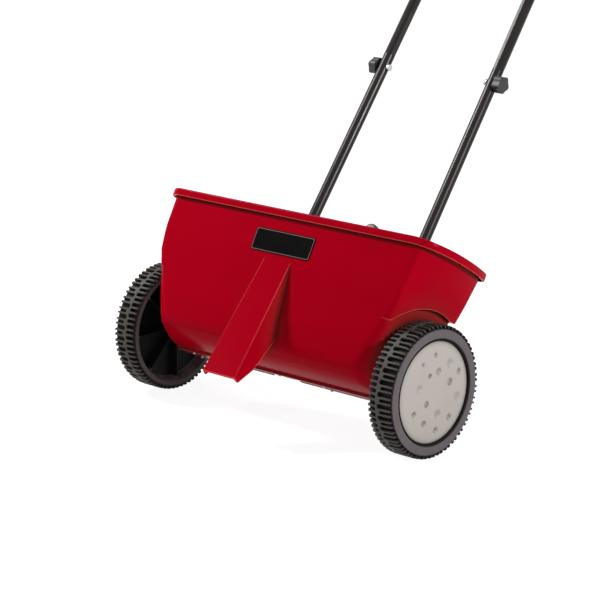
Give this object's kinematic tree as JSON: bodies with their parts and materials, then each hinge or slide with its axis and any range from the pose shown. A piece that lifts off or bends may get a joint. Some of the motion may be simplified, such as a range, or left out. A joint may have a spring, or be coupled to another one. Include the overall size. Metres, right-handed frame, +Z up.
{
  "type": "drop spreader",
  "caption": "Two-wheeled push spreader: tilted red hopper with a shutter under its outlets, dosing lever, driven agitator and a folding-apart tube handle.",
  "frame": {"origin": "middle of the bounding box's bottom face, on the ground between the wheels and the handle", "axes": "+X along the axle towards the driven right-hand wheel, +Y to the rear towards the handle, +Z up; the hopper is tipped back 29 degrees, as it is pushed"},
  "size_m": [0.576, 0.8378, 0.9535],
  "materials": {
    "red_plastic": "satin moulded crimson polypropylene",
    "black_label": "satin black film",
    "white_plastic": "satin",
    "black_plastic": "matt moulded",
    "grey_plastic": "satin warm grey",
    "black_tube": "satin black powder coat",
    "black_foam": "matt foam",
    "zinc_steel": "zinc plated"
  },
  "bodies": {
    "hopper": {"hopper_shell": "red_plastic", "shutter_guide_front": "red_plastic", "shutter_guide_rear_left": "red_plastic", "shutter_guide_rear_right": "red_plastic", "label_plate": "black_label", "dosing_scale": "white_plastic", "axle_bush_right": "black_plastic", "axle_bush_left": "black_plastic", "joint_knob_right": "black_plastic", "joint_knob_left": "black_plastic", "handle_tube_left": "black_tube", "handle_tube_right": "black_tube", "handle_bow": "black_tube", "foam_grip": "black_foam", "lever_washer": "zinc_steel", "lever_pivot_bolt": "zinc_steel", "axle_washer_right": "zinc_steel", "axle_washer_left": "zinc_steel", "joint_sleeve_left": "zinc_steel", "joint_sleeve_right": "zinc_steel", "joint_bolt_left": "zinc_steel", "joint_bolt_right": "zinc_steel", "socket_screw_left": "zinc_steel", "socket_screw_right": "zinc_steel", "guide_screw_front_1": "zinc_steel", "guide_screw_front_2": "zinc_steel", "guide_screw_front_3": "zinc_steel", "guide_screw_front_4": "zinc_steel", "guide_screw_front_5": "zinc_steel", "guide_screw_rear_1": "zinc_steel", "guide_screw_rear_2": "zinc_steel", "guide_screw_rear_3": "zinc_steel", "guide_screw_rear_4": "zinc_steel"},
    "drive_axle": {"axle_shaft": "zinc_steel", "drive_pin": "zinc_steel", "agitator": "black_plastic", "agitator_pin": "zinc_steel", "wheel_right": "black_plastic", "hub_cap_right": "grey_plastic", "axle_clip_right": "zinc_steel", "axle_clip_left": "zinc_steel"},
    "wheel_left": {"wheel_left": "black_plastic", "hub_cap_left": "grey_plastic"},
    "dosing_lever": {"dosing_lever": "zinc_steel", "lever_knob": "black_plastic"},
    "shutter": {"shutter_plate": "zinc_steel", "shutter_pin": "zinc_steel"}
  },
  "joints": [
    {"name": "drive_axle_spin", "type": "hinge", "parent": "hopper", "child": "drive_axle", "pos_m": [0, -0.2624, 0.1], "axis": [1, 0, 0], "continuous": true},
    {"name": "wheel_left_spin", "type": "hinge", "parent": "hopper", "child": "wheel_left", "pos_m": [0, -0.2624, 0.1], "axis": [1, 0, 0], "continuous": true},
    {"name": "lever_swing", "type": "hinge", "parent": "hopper", "child": "dosing_lever", "pos_m": [0, -0.19673, 0.1322], "axis": [0, 0.7793, -0.6266], "range_deg": [-6.06, 6.06]},
    {"name": "shutter_slide", "type": "slide", "parent": "hopper", "child": "shutter", "axis": [1, 0, 0], "range_m": [-0.00625, 0.00625]}
  ],
  "couplings": [
    {"joint": "shutter_slide", "follows": "lever_swing", "m_per_rad": -0.059}
  ]
}
